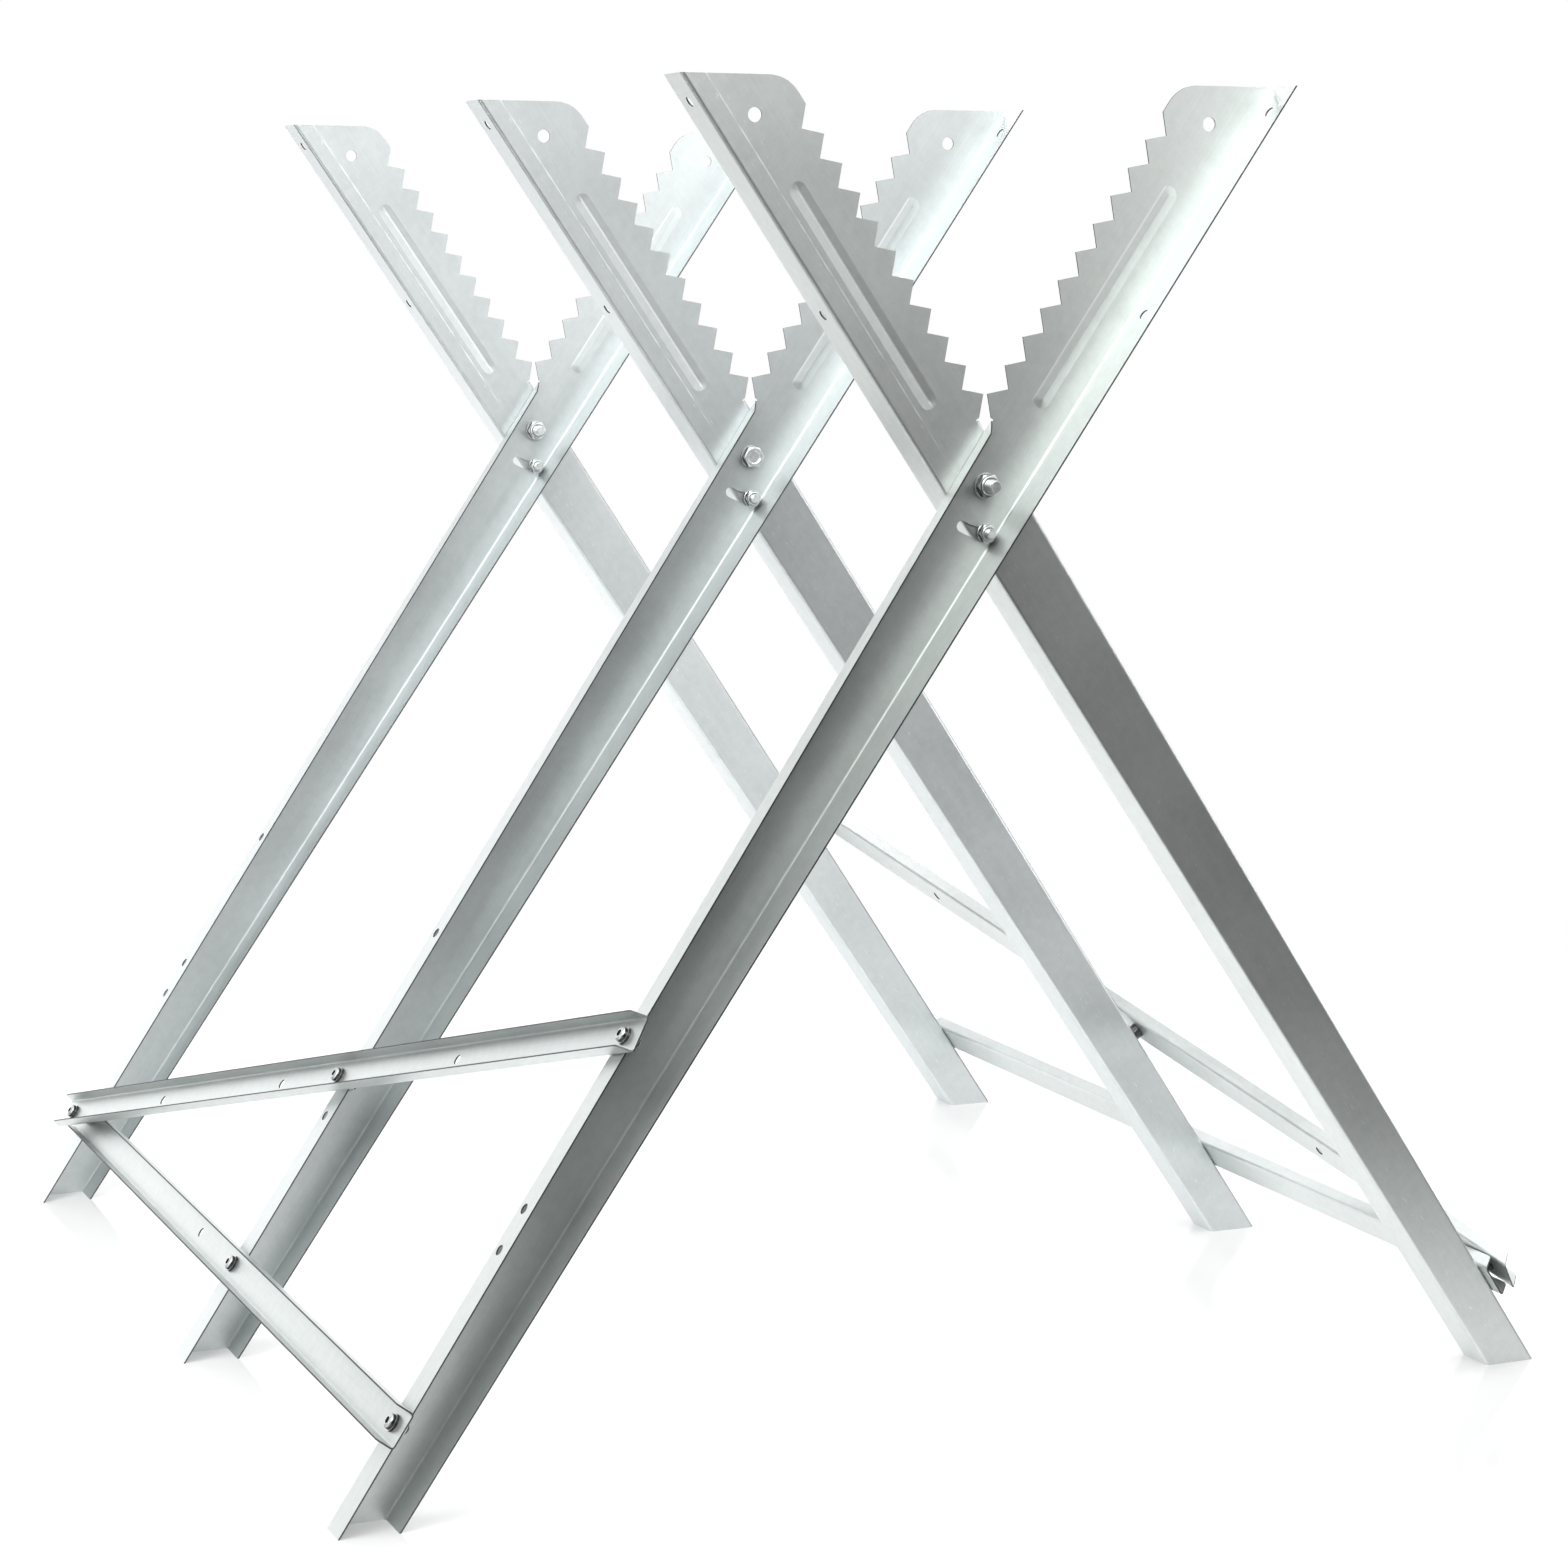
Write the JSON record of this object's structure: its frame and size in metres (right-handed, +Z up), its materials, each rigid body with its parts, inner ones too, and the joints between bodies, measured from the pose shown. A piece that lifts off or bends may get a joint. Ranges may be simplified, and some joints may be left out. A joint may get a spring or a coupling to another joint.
{
  "type": "folding log sawhorse",
  "caption": "Folding galvanised log sawhorse: crossed sheet-metal legs with saw-toothed upper arms that cradle a log, tied along their feet by channel braces.",
  "frame": {"origin": "on the floor, below the middle of the trestle's bounding box", "axes": "+X across the trestle towards the feet of the right panel, +Y along the log from the near frame to the far frame, +Z up"},
  "size_m": [0.816, 0.8524, 0.8126],
  "materials": {
    "galvanised_sheet": "bright galvanised sheet with fine rolling lines",
    "zinc_fasteners": "bright zinc plate"
  },
  "bodies": {
    "left_panel": {"near_left_leg": "galvanised_sheet", "near_pivot_bolt": "zinc_fasteners", "near_pivot_nut": "zinc_fasteners", "near_pivot_washers": "zinc_fasteners", "middle_left_leg": "galvanised_sheet", "middle_pivot_bolt": "zinc_fasteners", "middle_pivot_nut": "zinc_fasteners", "middle_pivot_washers": "zinc_fasteners", "far_left_leg": "galvanised_sheet", "far_pivot_bolt": "zinc_fasteners", "far_pivot_nut": "zinc_fasteners", "far_pivot_washers": "zinc_fasteners", "left_lower_brace": "galvanised_sheet", "left_diagonal_brace": "galvanised_sheet", "left_brace_bolts": "zinc_fasteners", "left_brace_washers": "zinc_fasteners", "left_brace_nuts": "zinc_fasteners"},
    "right_panel": {"near_right_leg": "galvanised_sheet", "middle_right_leg": "galvanised_sheet", "far_right_leg": "galvanised_sheet", "right_lower_brace": "galvanised_sheet", "right_diagonal_brace": "galvanised_sheet", "right_brace_bolts": "zinc_fasteners", "right_brace_washers": "zinc_fasteners", "right_brace_nuts": "zinc_fasteners"},
    "stop_bolts": {"near_stop_bolt": "zinc_fasteners", "near_stop_nut": "zinc_fasteners", "near_stop_washers": "zinc_fasteners", "middle_stop_bolt": "zinc_fasteners", "middle_stop_nut": "zinc_fasteners", "middle_stop_washers": "zinc_fasteners", "far_stop_bolt": "zinc_fasteners", "far_stop_nut": "zinc_fasteners", "far_stop_washers": "zinc_fasteners"}
  },
  "joints": [
    {"name": "fold", "type": "hinge", "parent": "left_panel", "child": "right_panel", "pos_m": [0, 0, 0.579], "axis": [0, 1, 0], "range_deg": [0, 64]},
    {"name": "stop_travel", "type": "hinge", "parent": "left_panel", "child": "stop_bolts", "pos_m": [0, 0, 0.579], "axis": [0, 1, 0], "range_deg": [0, 32]}
  ],
  "couplings": [
    {"joint": "stop_travel", "follows": "fold", "ratio": 0.5}
  ]
}
